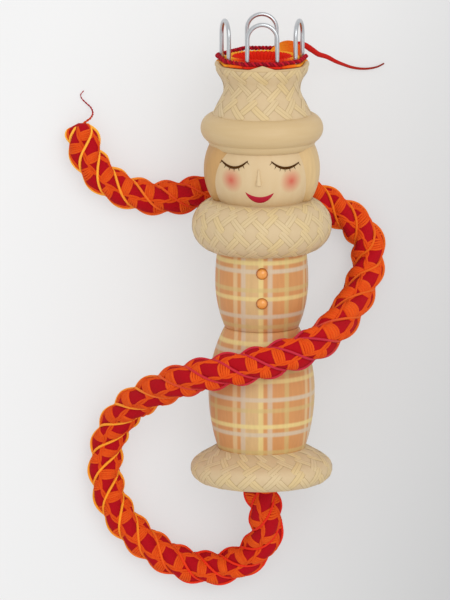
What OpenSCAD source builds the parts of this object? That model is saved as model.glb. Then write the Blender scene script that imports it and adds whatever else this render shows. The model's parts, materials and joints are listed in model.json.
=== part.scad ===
// Knitting nancy: a turned doll with a bore, four wire hooks and the knitted cord that it makes.
// The doll is drawn standing on its foot, face towards -Y, and is then laid on its back on the table,
// so that its axis runs along +Y, its face looks up and its neck leans on its own cord.

/* [Base] */
// Height of the base
base_h = 9.6; // [7:0.1:14]
// Largest diameter of the base
base_d = 40; // [36:0.5:50]
// Radius of the rounded rim of the base
base_rim_r = 3.4; // [2.5:0.1:4]
// Diameter of the flat on top of the base
base_top_d = 25.6; // [25:0.1:28]

/* [Skirt] */
// Height of the skirt barrel
skirt_h = 34.6; // [28:0.1:42]
// Diameter of the skirt at its foot
skirt_foot_d = 24.8; // [22:0.1:25]
// Largest diameter of the skirt
skirt_d = 30; // [27:0.1:32]
// Height of the widest place above the foot of the skirt
skirt_belly = 16.2; // [12:0.1:20]
// Diameter at the waist, where skirt and torso meet
waist_d = 20.8; // [19:0.1:23]

/* [Torso] */
// Height of the torso barrel
torso_h = 22; // [18:0.1:28]
// Largest diameter of the torso
torso_d = 26.2; // [25.4:0.1:29]
// Height of the widest place above the waist
torso_belly = 13.2; // [11:0.1:15]
// Diameter at the top of the torso
torso_top_d = 25; // [22:0.1:25.2]

/* [Collar] */
// Height of the collar between its two flats
collar_h = 14.2; // [12:0.1:14.6]
// Largest diameter of the collar
collar_d = 39.2; // [36:0.1:42]
// Radius of the round section of the collar
collar_round = 7.4; // [7.35:0.05:9]

/* [Head] */
// Height of the head between collar and hat
head_h = 16.4; // [14:0.1:20]
// Diameter of the head ball
head_d = 29.8; // [28:0.1:32]
// Height of the ball's centre above the collar
head_centre = 8.8; // [7:0.1:10]
// Thickness of the hair cap
hair_t = 1.3; // [1:0.1:2.5]
// Half width of the face opening in the hair
face_half_w = 12.2; // [10:0.1:12.8]
// Radius of the two arcs that bound the face opening
face_arc_r = 30; // [28:0.5:40]
// Height of the widest place of the face above the collar
face_wide_z = 6; // [4:0.1:9]

/* [Nose and buttons] */
// Length of the nose ridge
nose_len = 4.4; // [3:0.1:6]
// Radius of the nose at its lower end
nose_r = 0.8; // [0.5:0.05:1.2]
// Radius of the nose at its upper end
nose_tip_r = 0.2; // [0.1:0.05:0.4]
// Sideways place of the nose on the face
nose_x = -1; // [-1.5:0.1:1.5]
// Diameter of a button
button_d = 3.3; // [2.5:0.1:4]
// Height of a button from its seat to the top of its dome
button_h = 1.5; // [1.2:0.1:2]
// Diameter of the peg behind a button
button_peg_d = 1.2; // [0.8:0.1:1.6]
// Length of the peg behind a button
button_peg_len = 3; // [2:0.1:3.5]
// Depth of the flat seat below the torso's surface
button_seat = 0.4; // [0.3:0.05:0.6]
// Height of the lower button above the waist
button_low_z = 8.9; // [6:0.1:10]
// Distance between the two buttons
button_pitch = 8.5; // [6:0.1:9]

/* [Hat] */
// Height of the rolled brim between its two flats
brim_h = 8.1; // [6:0.1:8.3]
// Largest diameter of the brim
brim_d = 34.4; // [32:0.1:38]
// Radius of the round section of the brim
brim_round = 4.2; // [4.2:0.05:5.5]
// Height of the crown
crown_h = 14.1; // [12:0.1:18]
// Diameter of the crown at the brim
crown_foot_d = 27.6; // [25:0.1:28]
// Diameter of the crown at its narrow waist
crown_waist_d = 21.4; // [20.5:0.1:22.5]
// Height of that waist above the brim
crown_waist_z = 7.4; // [6.5:0.1:8]
// Radius of the hollow at the crown's waist
crown_hollow_r = 5; // [3:0.1:6]
// Diameter of the rim at the top of the crown
rim_d = 26.2; // [26:0.1:28]
// Height of the point of the rim inside each hook
peak_h = 1.7; // [1:0.1:2]
// Width of that point at the rim
peak_w = 7.4; // [6:0.1:7.6]
// Thickness of that point
peak_t = 0.6; // [0.4:0.05:0.65]

/* [Bore] */
// Diameter of the bore that the cord runs through
bore_d = 12; // [11:0.1:12.6]
// Outer diameter of the core tube
core_d = 15; // [14:0.1:16]
// Distance of the core tube's lower end above the underside
core_set_back = 0.6; // [0.3:0.1:2]
// Depth of the core tube's seat in the crown
core_seat = 5; // [3:0.1:7]
// Diameter of the flared mouth at the rim
mouth_d = 18.6; // [17:0.1:18.8]

/* [Hooks] */
// Diameter of the hook wire
wire_d = 1.2; // [1:0.1:1.3]
// Distance between the two legs of a hook
hook_span = 8.3; // [7:0.1:8.6]
// Height of a hook above the rim
hook_h = 13; // [11:0.1:16]
// Depth of the legs in the rim
hook_depth = 3.2; // [2.5:0.1:3.4]
// Distance of each hook from the doll's axis
hook_circle = 10.6; // [10.5:0.05:10.7]
// Angle of the two side hooks from the front
hook_side = 76; // [70:1:90]

/* [Knitting] */
// Diameter of the knitted cord
cord_d = 10; // [8:0.1:10.4]
// Diameter of the stitch round each hook
stitch_d = 0.8; // [0.5:0.05:0.9]
// Diameter of the knitted edge on the rim
edge_d = 1.8; // [1:0.1:1.9]
// Diameter of the working yarn
yarn_d = 1.1; // [0.8:0.05:1.1]
// Rise of the working yarn from the front of its turn to the back
yarn_rise = 1.2; // [0.5:0.05:2]
// Diameter of the loose end of the cord
cast_on_d = 0.8; // [0.5:0.05:1.2]
// Diameter of a loose end at its tip
tip_d = 0.3; // [0.2:0.05:0.4]
// Depth of the hollow in the knitting, below the rim
hollow_depth = 4.4; // [3:0.1:6]

/* [Fits] */
// Gap between the core tube and a turned piece, all round
glue_gap = 0.1; // [0.05:0.01:0.2]
// Gap between a wire or peg and its hole, all round
peg_gap = 0.05; // [0.02:0.01:0.1]
// Gap between yarn and wood, wire or other yarn
yarn_gap = 0.05; // [0.02:0.01:0.1]
// Gap between the knitted tube and the flared mouth
mouth_gap = 0.4; // [0.2:0.05:0.6]

/* [Pose] */
// Angle of the doll's axis above the table
lean = 4.2; // [4:0.1:6]

/* [Hidden] */
$fn = 96;
fine = 300;
cut = 0.5;
root = 0.2;
cord_sides = 12;
yarn_sides = 8;

straw = "#DEC699";
plaid = "#DDA56B";
pale_wood = "#E3C79A";
hair_wood = "#CDA26C";
steel = "#B9BCC0";
bead = "#D9812B";
orange_yarn = "#E0581A";
red_yarn = "#B3122B";
card = "#B79A73";

// Levels along the doll's axis, from the underside of the base
skirt_z = base_h;
torso_z = skirt_z + skirt_h;
collar_z = torso_z + torso_h;
head_z = collar_z + collar_h;
brim_z = head_z + head_h;
crown_z = brim_z + brim_h;
rim_z = crown_z + crown_h;
hook_top = rim_z + hook_h;

// Bore and core tube
core_hole_r = core_d / 2 + glue_gap;
core_top = crown_z + core_seat;

// Base
rim_ring_r = base_d / 2 - base_rim_r;
base_top_r = base_top_d / 2;

// Head and hair
head_r = head_d / 2;
hair_r = head_r + glue_gap + hair_t;
ball_z = head_z + head_centre;
face_shift = face_arc_r - face_half_w;

// Hooks: the angle of each one from the front, and the angle of a leg beside it
FRONT = 0;
BACK = 180;
LEFT = -hook_side;
RIGHT = hook_side;
hook_angles = [FRONT, BACK, LEFT, RIGHT];
leg_angle = atan(hook_span / 2 / hook_circle);
leg_circle = norm([hook_circle, hook_span / 2]);

// Knitting on the hooks: its rings, and half of the yarn's sharpest turn at a leg
edge_ring_r = mouth_d / 2 + yarn_gap;
stitch_ring_r = (wire_d + stitch_d) / 2 + yarn_gap;
yarn_bend = max(hook_side, BACK - hook_side) / 4;
yarn_ring_r = leg_circle + ((wire_d + yarn_d) / 2 + yarn_gap) / cos(yarn_bend);
yarn_low_z = rim_z + stitch_d + yarn_d / 2 + 2 * yarn_gap;

// The lying doll: height of its axis at the foot, and the middle of its length
lift = rim_ring_r * cos(lean) - base_rim_r * sin(lean) + base_rim_r;
foot_end = -rim_ring_r * sin(lean) + base_rim_r * cos(lean) - base_rim_r;
hook_end = hook_circle * sin(lean) + (hook_top - wire_d / 2) * cos(lean) + wire_d / 2;
middle = (foot_end + hook_end) / 2;

module lay() {
    translate([0, -middle, lift]) rotate([lean - 90, 0, 0]) children();
}

// Where a point of the standing doll lies on the table
function laid(p) = [
    p.x,
    p.y * sin(lean) + p.z * cos(lean) - middle,
    -p.y * cos(lean) + p.z * sin(lean) + lift
];

// Radius of the arc that swells by dr over the height h
function arc_radius(h, dr) = (h * h + dr * dr) / (2 * dr);

// Half width of a barrel at height z: an arc below its widest place and another above it
function barrel_r(z, h, foot_d, d, belly, top_d) =
    let (arc = z < belly ? arc_radius(belly, (d - foot_d) / 2) : arc_radius(h - belly, (d - top_d) / 2))
    d / 2 - arc + sqrt(arc * arc - (z - belly) * (z - belly));

// Point where a line from p touches the circle of radius r about c, to the left or right of c
function touch(p, c, r, side) =
    let (v = p - c, a = atan2(v.y, v.x) + side * acos(r / norm(v)))
    c + r * [cos(a), sin(a)];

// Half outlines, turned about the axis

module barrel_outline(h, foot_d, d, belly, top_d, hole_r) {
    low = arc_radius(belly, (d - foot_d) / 2);
    high = arc_radius(h - belly, (d - top_d) / 2);
    intersection() {
        translate([d / 2 - low, belly]) circle(low);
        translate([hole_r, 0]) square([d, belly]);
    }
    intersection() {
        translate([d / 2 - high, belly]) circle(high);
        translate([hole_r, belly]) square([d, h - belly]);
    }
}

module ring_outline(h, d, round, hole_r) {
    intersection() {
        union() {
            translate([d / 2 - round, h / 2]) circle(round);
            translate([hole_r, 0]) square([d / 2 - round - hole_r, h]);
        }
        translate([hole_r, 0]) square([d, h]);
    }
}

module turned(z) {
    lay() translate([0, 0, z]) rotate_extrude() children();
}

// Turned pieces, from the foot up

module base() {
    rim_c = [rim_ring_r, base_rim_r];
    shoulder = [base_top_r, base_h];
    color(straw) turned(0) {
        translate(rim_c) circle(base_rim_r);
        polygon([
            [core_hole_r, 0], [rim_ring_r, 0], rim_c, touch(shoulder, rim_c, base_rim_r, -1), shoulder,
            [core_hole_r, base_h]
        ]);
    }
}

module skirt() {
    color(plaid) turned(skirt_z)
        barrel_outline(skirt_h, skirt_foot_d, skirt_d, skirt_belly, waist_d, core_hole_r);
}

// Place of a button's seat on the front of the torso, z above the waist
function seat_at(z) =
    [0, button_seat - barrel_r(z, torso_h, waist_d, torso_d, torso_belly, torso_top_d), torso_z + z];

button_places = [seat_at(button_low_z + button_pitch), seat_at(button_low_z)];

module torso() {
    color(plaid) difference() {
        turned(torso_z) barrel_outline(torso_h, waist_d, torso_d, torso_belly, torso_top_d, core_hole_r);
        for (p = button_places) lay() translate(p) rotate([90, 0, 0]) {
            cylinder(d = button_d + 2 * peg_gap, h = 2 * button_seat);
            translate([0, 0, -button_peg_len - peg_gap])
                cylinder(d = button_peg_d + 2 * peg_gap, h = button_peg_len + cut);
        }
    }
}

module collar() {
    color(straw) turned(collar_z) ring_outline(collar_h, collar_d, collar_round, core_hole_r);
}

module head_slab(r) {
    translate([0, 0, head_z]) cylinder(r = r + cut, h = head_h);
}

module head_ball(r) {
    translate([0, 0, ball_z]) sphere(r);
}

module core_hole() {
    translate([0, 0, -cut]) cylinder(r = core_hole_r, h = rim_z);
}

module head() {
    color(pale_wood) lay() difference() {
        intersection() {
            head_ball(head_r);
            head_slab(head_r);
        }
        core_hole();
    }
}

module hair() {
    color(hair_wood) lay() difference() {
        intersection() {
            head_ball(hair_r);
            head_slab(hair_r);
        }
        head_ball(head_r + glue_gap);
        core_hole();
        intersection_for (side = [-1, 1]) {
            translate([side * face_shift, 0, head_z + face_wide_z]) rotate([90, 0, 0])
                cylinder(r = face_arc_r, h = hair_r + cut);
        }
    }
}

module nose() {
    color(pale_wood) lay() difference() {
        translate([nose_x, -head_r, ball_z - nose_len / 2])
            cylinder(r1 = nose_r, r2 = nose_tip_r, h = nose_len);
        head_ball(head_r, $fn = fine);
    }
}

module hat_brim() {
    color(pale_wood) turned(brim_z) ring_outline(brim_h, brim_d, brim_round, core_hole_r);
}

module crown_outline() {
    foot = [crown_foot_d / 2, 0];
    top = [rim_d / 2, crown_h];
    hollow = [crown_waist_d / 2 + crown_hollow_r, crown_waist_z];
    difference() {
        polygon([
            [core_hole_r, 0], foot, touch(foot, hollow, crown_hollow_r, -1), hollow,
            touch(top, hollow, crown_hollow_r, 1), top, [mouth_d / 2, crown_h],
            [bore_d / 2, core_seat], [core_hole_r, core_seat]
        ]);
        translate(hollow) circle(crown_hollow_r);
    }
}

// One point of the rim: a thin triangle in front of the hook, rooted in the rim
module rim_peak() {
    w = peak_w / 2;
    intersection() {
        translate([0, 0, rim_z - root]) difference() {
            cylinder(d = rim_d, h = root + peak_h);
            translate([0, 0, -cut]) cylinder(r = rim_d / 2 - peak_t, h = root + peak_h + 2 * cut);
        }
        translate([0, 0, rim_z]) rotate([90, 0, 0]) linear_extrude(rim_d)
            polygon([[-w, -root], [w, -root], [w, 0], [0, peak_h], [-w, 0]]);
    }
}

module leg_holes() {
    for (a = hook_angles, side = [-1, 1]) rotate(a)
        translate([side * hook_span / 2, -hook_circle, rim_z - hook_depth - peg_gap])
            cylinder(d = wire_d + 2 * peg_gap, h = hook_depth + cut);
}

module hat_crown() {
    color(straw) union() {
        difference() {
            turned(crown_z) crown_outline();
            lay() leg_holes();
        }
        lay() for (a = hook_angles) rotate(a) rim_peak();
    }
}

module core_tube() {
    color(card) turned(0) translate([bore_d / 2, core_set_back])
        square([(core_d - bore_d) / 2, core_top - core_set_back - glue_gap]);
}

// Hooks, buttons

module hook(a) {
    straight = hook_h + hook_depth - (hook_span + wire_d) / 2;
    color(steel) lay() rotate(a) translate([0, -hook_circle, rim_z - hook_depth]) {
        for (side = [-1, 1]) translate([side * hook_span / 2, 0, 0]) cylinder(d = wire_d, h = straight);
        translate([0, 0, straight]) rotate([90, 0, 0]) rotate_extrude(angle = 180)
            translate([hook_span / 2, 0]) circle(d = wire_d);
    }
}

module hook_front() { hook(FRONT); }
module hook_back() { hook(BACK); }
module hook_left() { hook(LEFT); }
module hook_right() { hook(RIGHT); }

module button(place) {
    edge_h = button_h / 2;
    dome = button_h - edge_h;
    dome_r = arc_radius(button_d / 2, dome);
    color(bead) lay() translate(place) rotate([90, 0, 0]) {
        cylinder(d = button_d, h = edge_h);
        intersection() {
            translate([0, 0, button_h - dome_r]) sphere(dome_r);
            translate([0, 0, edge_h]) cylinder(d = button_d, h = button_h);
        }
        translate([0, 0, -button_peg_len]) cylinder(d = button_peg_d, h = button_peg_len + edge_h);
    }
}

module button_upper() { button(button_places[0]); }
module button_lower() { button(button_places[1]); }

// Knitting on the hooks

// A closed loop round both legs of a hook, lying on the rim
module stitch() {
    for (side = [-1, 1]) {
        translate([side * hook_span / 2, 0, 0]) rotate(-90 * side) rotate_extrude(angle = 180)
            translate([stitch_ring_r, 0]) circle(d = stitch_d);
        translate([0, side * stitch_ring_r, 0]) rotate([0, 90, 0])
            cylinder(d = stitch_d, h = hook_span, center = true);
    }
}

module stitch_loops() {
    color(orange_yarn) lay() {
        translate([0, 0, rim_z + edge_d / 2 + yarn_gap]) rotate_extrude()
            translate([edge_ring_r, 0]) circle(d = edge_d);
        for (a = hook_angles) rotate(a)
            translate([0, -hook_circle, rim_z + stitch_d / 2 + yarn_gap]) stitch();
    }
}

// A knitted tube that fills the core tube loosely and opens out to the edge on the rim
module cord_in_bore() {
    lip_r = mouth_d / 2 - mouth_gap;
    wall = edge_d / 2;
    color(red_yarn) turned(0) polygon([
        [0, 0], [cord_d / 2, 0], [cord_d / 2, core_top], [lip_r, rim_z], [lip_r - wall, rim_z],
        [cord_d / 2, rim_z - hollow_depth], [0, core_top + wall]
    ]);
}

// Cords: a tube swept along a smooth curve through chosen points

function unit(v) = v / norm(v);

function spline(p, i, t) =
    let (
        last = len(p) - 1,
        a = i > 0 ? p[i - 1] : 2 * p[0] - p[1],
        b = p[i],
        c = p[i + 1],
        d = i + 2 <= last ? p[i + 2] : 2 * p[last] - p[last - 1]
    )
    b + (c - a) * t / 2
    + (2 * a - 5 * b + 4 * c - d) * t * t / 2
    + (3 * b - a - 3 * c + d) * t * t * t / 2;

// Two steps of the smooth curve between each pair of points
function curve(p) = [
    for (i = [0 : len(p) - 2], t = [0, 0.5]) spline(p, i, t), p[len(p) - 1]
];

function tangents(c, out) = [
    unit(out), for (i = [1 : len(c) - 1]) unit(c[min(i + 1, len(c) - 1)] - c[i - 1])
];

// Carry one side direction along the curve without twisting it
function carried(t, side, i = 0, done = []) =
    i == len(t) ? done :
    let (n = unit(side - (side * t[i]) * t[i]))
    carried(t, n, i + 1, concat(done, [n]));

// A tube along the curve c, which sets off in the direction out
module swept(c, out, d0, d1, sides, across) {
    t = tangents(c, out);
    n = carried(t, across);
    last = len(c) - 1;
    points = [
        for (i = [0 : last], k = [0 : sides - 1])
            let (a = 360 * (k + 0.5) / sides, r = (d0 + (d1 - d0) * i / last) / 2)
            c[i] + r * (cos(a) * n[i] + sin(a) * cross(t[i], n[i]))
    ];
    walls = [
        for (i = [0 : last - 1], k = [0 : sides - 1])
            let (a = i * sides + k, b = i * sides + (k + 1) % sides)
            each [[a, a + sides, b], [b, a + sides, b + sides]]
    ];
    first_cap = [for (k = [0 : sides - 1]) k];
    last_cap = [for (k = [sides - 1 : -1 : 0]) last * sides + k];
    polyhedron(points, concat([first_cap], walls, [last_cap]));
}

// Height of the cord's middle where it lies on the table, and its straight run out of the foot
lie = cord_d / 2 + yarn_gap;
exit_run = 4;

// The free cord: out of the foot, round to the left, over the skirt, down the right and under the neck
cord_route = [
    laid([0, 0, 0]), laid([0, 0, -exit_run]),
    [1, -74.5, 18], [1.5, -80, 15], [0, -85.5, 11.5], [-4, -90, 8.5], [-10, -93, 6], [-17, -93.5, lie],
    [-24.5, -91.5, lie], [-32, -87, lie], [-38, -81.5, lie], [-42.5, -74.5, lie], [-44.5, -66.5, lie],
    [-44, -58.5, 5.5], [-41.5, -51.5, 8.5], [-36.5, -45, 15], [-30, -40, 24], [-22, -35.5, 33.5],
    [-13, -32.5, 39.5], [-3.5, -30.5, 41.5], [6, -28, 40.5], [14, -25.5, 36], [20.5, -21.5, 27.5],
    [25.5, -16.5, 16.5], [29, -10.5, 8.5], [30.5, -4.5, 5.5], [30, 1, lie], [26.5, 6, lie],
    [20.5, 10, lie], [14, 14, lie], [7, 17.5, lie], [0, 19, lie], [-7.5, 18, lie], [-14.5, 15.5, lie],
    [-22, 13.5, lie], [-30, 13, lie], [-37.5, 14.5, lie], [-44, 18, lie], [-49, 24, lie],
    [-52.5, 33, lie]
];

// The thin end left from casting on: out of the cord's end, curling down to the table
cast_on_route = [
    [-49.8, 34, 5.6], [-50, 34.7, 5.6], [-49.3, 35.6, 5.2], [-48.2, 36.2, 4.2], [-47.8, 37.2, 2.6],
    [-48.5, 38.4, 1.2], [-49.8, 39.6, 0.6], [-51, 40.8, 0.5], [-51.4, 42, 0.5], [-50.5, 43.2, 0.4]
];

// The turn round the hooks: past the outer side of each leg in order, lowest at the front
leg_turns = [
    RIGHT + leg_angle, RIGHT - leg_angle, FRONT + leg_angle, FRONT - leg_angle,
    LEFT + leg_angle, LEFT - leg_angle, leg_angle - BACK, -leg_angle - BACK
];
turn_points = [
    for (a = leg_turns)
        laid([yarn_ring_r * sin(a), -yarn_ring_r * cos(a), yarn_low_z + yarn_rise * (1 - cos(a)) / 2])
];
yarn_off = turn_points[len(turn_points) - 1];
straight_turn = [
    for (i = [0 : len(turn_points) - 2], t = [0, 1 / 3, 2 / 3])
        turn_points[i] * (1 - t) + turn_points[i + 1] * t,
    yarn_off
];

// The loose end of the working yarn: off the back hook, past the right-hand one and down to the table
tail_route = [
    yarn_off,
    [8, 57.5, 17], [11.5, 57.5, 16.2], [14, 56, 14.8], [16, 54.5, 12.6], [18.5, 53.5, 9.8], [21, 52, 6.8],
    [23, 51, 4], [25.5, 50, 2], [28, 49.5, 1], [30.5, 49.5, 0.8], [33, 50, 0.6], [35, 51, 0.5]
];

module working_yarn() {
    out = turn_points[1] - turn_points[0];
    color(red_yarn) swept(straight_turn, out, yarn_d, yarn_d, yarn_sides, [0, 1, 0]);
}

module yarn_tail() {
    out = yarn_off - turn_points[len(turn_points) - 2];
    color(red_yarn) swept(curve(tail_route), out, yarn_d, tip_d, yarn_sides, [0, 1, 0]);
}

module knitted_cord() {
    out = cord_route[1] - cord_route[0];
    color(orange_yarn) swept(curve(cord_route), out, cord_d, cord_d, cord_sides, [1, 0, 0]);
}

module cast_on_tail() {
    out = cast_on_route[1] - cast_on_route[0];
    color(orange_yarn) swept(curve(cast_on_route), out, cast_on_d, tip_d, yarn_sides, [1, 0, 0]);
}

base();
skirt();
torso();
collar();
head();
hair();
nose();
hat_brim();
hat_crown();
core_tube();
hook_front();
hook_back();
hook_left();
hook_right();
button_upper();
button_lower();
stitch_loops();
working_yarn();
yarn_tail();
cord_in_bore();
knitted_cord();
cast_on_tail();
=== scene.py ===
"""A knitting nancy, lying on its back on the table with the cord that it has made."""

import itertools
import json
import math
import random
from bisect import bisect_right

import bmesh
import bpy
from mathutils import Matrix, Vector


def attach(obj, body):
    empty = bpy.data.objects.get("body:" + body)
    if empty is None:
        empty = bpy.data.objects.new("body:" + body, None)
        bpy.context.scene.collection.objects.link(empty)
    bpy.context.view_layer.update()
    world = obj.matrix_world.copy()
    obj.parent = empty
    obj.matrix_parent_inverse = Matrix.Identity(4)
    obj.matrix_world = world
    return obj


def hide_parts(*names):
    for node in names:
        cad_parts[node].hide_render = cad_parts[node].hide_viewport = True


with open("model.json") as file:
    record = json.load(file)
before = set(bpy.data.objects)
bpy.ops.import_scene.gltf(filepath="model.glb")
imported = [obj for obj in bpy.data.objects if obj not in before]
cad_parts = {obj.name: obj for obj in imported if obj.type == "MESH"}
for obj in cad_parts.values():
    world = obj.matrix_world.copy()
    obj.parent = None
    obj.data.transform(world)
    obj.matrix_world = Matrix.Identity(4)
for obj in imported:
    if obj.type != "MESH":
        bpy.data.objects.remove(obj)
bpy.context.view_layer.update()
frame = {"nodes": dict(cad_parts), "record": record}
scene = bpy.context.scene
MM = 0.001

# The lying doll
# The turned doll lies on its back with its foot towards the viewer, so its own axis is tilted a little
# out of the table. Its pieces are worked out standing on the foot, face towards -Y, and then laid down.
foot = frame["record"]["mounts"][0]
foot_centre = Vector((0, foot["pos_m"][1], foot["pos_m"][2]))
doll_right = Vector((1, 0, 0))
doll_up = -Vector(foot["axis"])
doll_back = doll_up.cross(doll_right)
laid = Matrix((doll_right, doll_back, doll_up)).transposed().to_4x4()
laid.translation = foot_centre


def on_doll(x, y, z):
    """Where a point of the standing doll, in millimetres, lies on the table."""
    return laid @ (Vector((x, y, z)) * MM)


def reach(name):
    """The radius, foot and top of a CAD piece about the doll's axis, in millimetres."""
    stood = [laid.inverted() @ v.co / MM for v in frame["nodes"][name].data.vertices]
    radius = max(math.hypot(p.x, p.y) for p in stood)
    return radius, min(p.z for p in stood), max(p.z for p in stood)


# Camera
# The picture is taken from above with a long lens, a little from beyond the doll's head,
# so that its foot points at the lower edge of the picture.
picture_h = 600
mm_per_pixel = 0.2817
camera_distance = 1600
camera_tilt = math.radians(6.8)
aim_height = 51.66
aim_left = 10.34

camera = bpy.data.objects.new("camera", bpy.data.cameras.new("camera"))
scene.collection.objects.link(camera)
scene.camera = camera
camera.data.lens = camera.data.sensor_width * camera_distance / (picture_h * mm_per_pixel)
towards_camera = Vector((0, math.sin(camera_tilt), math.cos(camera_tilt)))
aim = on_doll(-aim_left, 0, aim_height)
camera_up = towards_camera.cross(doll_right)
turn = Matrix((doll_right, camera_up, towards_camera)).transposed().to_4x4()
camera.matrix_world = Matrix.Translation(aim + towards_camera * camera_distance * MM) @ turn

# Table and light
# A plain pale table that darkens a little towards its lower right, a painted shade of light falling off,
# under a large soft lamp from the upper right, with even light from all round.
table_size = 4
table_falloff_tones = [(0.1, "F0F0F0"), (0.55, "E8E8E8"), (1.0, "C8C8C8")]
table_fall = Vector((5.5, -1.8, 0))
table_middle = 0.53
table_glow = 0.62
table_speck = 1000 / 6
speck_dark = 0.98
sky_grey = "F2F2F2"
lamp_size = 0.7
lamp_place = Vector((0.3, 0.32, 0.95))
lamp_watts = 3.7
sky_strength = 0.97
backdrop_strength = 0.86
corner_angle = math.radians(70)


def linear(code):
    """Turn an sRGB hex colour into the linear colour that a shader takes."""
    parts = [int(code[i:i + 2], 16) / 255 for i in (0, 2, 4)]
    return (*[c / 12.92 if c <= 0.04045 else ((c + 0.055) / 1.055) ** 2.4 for c in parts], 1)


def add_node(tree, kind, inputs=None, **settings):
    """Add a node, set its properties, and fill its inputs with values or with other nodes' outputs."""
    new = tree.nodes.new(kind)
    for name, value in settings.items():
        setattr(new, name, value)
    for socket, value in (inputs or {}).items():
        if isinstance(value, bpy.types.NodeSocket):
            tree.links.new(value, new.inputs[socket])
        else:
            new.inputs[socket].default_value = value
    return new.outputs


def calc(tree, operation, *values):
    """The result of a calculation with numbers or with other nodes' outputs."""
    return add_node(tree, "ShaderNodeMath", dict(enumerate(values)), operation=operation)[0]


def calc_vectors(tree, operation, *values):
    """The outputs of a calculation with places or colours."""
    return add_node(tree, "ShaderNodeVectorMath", dict(enumerate(values)), operation=operation)


def spread(tree, value, low=0.0, high=1.0, to_low=0.0, to_high=1.0, smooth=False):
    """A value stretched from between low and high to between two new ones, and held at them beyond."""
    return add_node(tree, "ShaderNodeMapRange", {
        "Value": value, "From Min": low, "From Max": high, "To Min": to_low, "To Max": to_high,
    }, interpolation_type="SMOOTHSTEP" if smooth else "LINEAR")[0]


def mottle(tree, size, detail=2.0):
    """An uneven shade between 0 and 1, with spots of about this size in millimetres."""
    place = add_node(tree, "ShaderNodeTexCoord")["Object"]
    spots = {"Vector": place, "Scale": 1 / (size * MM), "Detail": detail}
    return add_node(tree, "ShaderNodeTexNoise", spots)["Fac"]


def tint(tree, colour, shade):
    """A colour made lighter or darker by a shade, where 1 leaves it as it is."""
    return calc_vectors(tree, "MULTIPLY", colour, shade)[0]


def ramp_of(tree, share, colours):
    """The colour at a share of the way through hex colours, each given with its place."""
    ramp = tree.nodes.new("ShaderNodeValToRGB")
    tree.links.new(share, ramp.inputs[0])
    while len(ramp.color_ramp.elements) < len(colours):
        ramp.color_ramp.elements.new(0.5)
    for element, (place, code) in zip(ramp.color_ramp.elements, colours):
        element.position = place
        element.color = linear(code)
    return ramp.outputs[0]


def new_material(name, **sockets):
    """A material with one shader, whose sockets are set by name with spaces as underscores."""
    made = bpy.data.materials.new(name)
    made.use_nodes = True
    shader = made.node_tree.nodes["Principled BSDF"]
    for socket, value in sockets.items():
        shader.inputs[socket.replace("_", " ")].default_value = value
    return made, made.node_tree, shader


def set_colour(tree, shader, colour):
    """Give a material the colour that comes out of another node."""
    tree.links.new(colour, shader.inputs["Base Color"])


def new_piece(name, mesh, material):
    """Put a finished mesh into the scene as one piece, smooth apart from its corners."""
    data = bpy.data.meshes.new(name)
    mesh.to_mesh(data)
    mesh.free()
    data.shade_smooth()
    data.set_sharp_from_angle(angle=corner_angle)
    data.materials.append(material)
    piece = bpy.data.objects.new(name, data)
    scene.collection.objects.link(piece)
    return piece


def seen_directly(tree):
    """1 for rays from the camera and from shiny surfaces, 0 for the light that falls on things."""
    rays = add_node(tree, "ShaderNodeLightPath")
    return calc(tree, "MAXIMUM", rays["Is Camera Ray"], rays["Is Glossy Ray"])


# Matt paint. More than half of its tone is kept out of the shadow for the camera, so shadows stay pale
table_paint, tree, shader = new_material("matt_table_paint", Roughness=0.9)
table_place = add_node(tree, "ShaderNodeTexCoord")["Object"]
# Painted shade: the table's tone falls off towards its lower right
across = calc_vectors(tree, "DOT_PRODUCT", table_place, table_fall)["Value"]
tones = ramp_of(tree, calc(tree, "ADD", across, table_middle), table_falloff_tones)
tinted = tint(tree, tones, spread(tree, mottle(tree, table_speck), to_low=speck_dark))
seen = seen_directly(tree)
lit = tint(tree, tinted, spread(tree, seen, to_low=1.0, to_high=1 - table_glow))
set_colour(tree, shader, lit)
tree.links.new(tinted, shader.inputs["Emission Color"])
tree.links.new(calc(tree, "MULTIPLY", seen, table_glow), shader.inputs["Emission Strength"])
mesh = bmesh.new()
bmesh.ops.create_grid(mesh, x_segments=4, y_segments=4, size=table_size / 2)
table = new_piece("table", mesh, table_paint)

lamp = bpy.data.objects.new("lamp", bpy.data.lights.new("lamp", "AREA"))
scene.collection.objects.link(lamp)
lamp.data.size = lamp_size
lamp.data.energy = lamp_watts
lamp_turn = lamp_place.to_track_quat("Z", "Y").to_matrix().to_4x4()
lamp.matrix_world = Matrix.Translation(lamp_place) @ lamp_turn

world = bpy.data.worlds.new("studio")
world.use_nodes = True
scene.world = world
tree = world.node_tree
strength = add_node(tree, "ShaderNodeMix", {0: seen_directly(tree), 2: sky_strength, 3: backdrop_strength})
sky = tree.nodes["Background"]
sky.inputs["Color"].default_value = linear(sky_grey)
tree.links.new(strength[0], sky.inputs["Strength"])
scene.view_settings.view_transform = "Standard"

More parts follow.
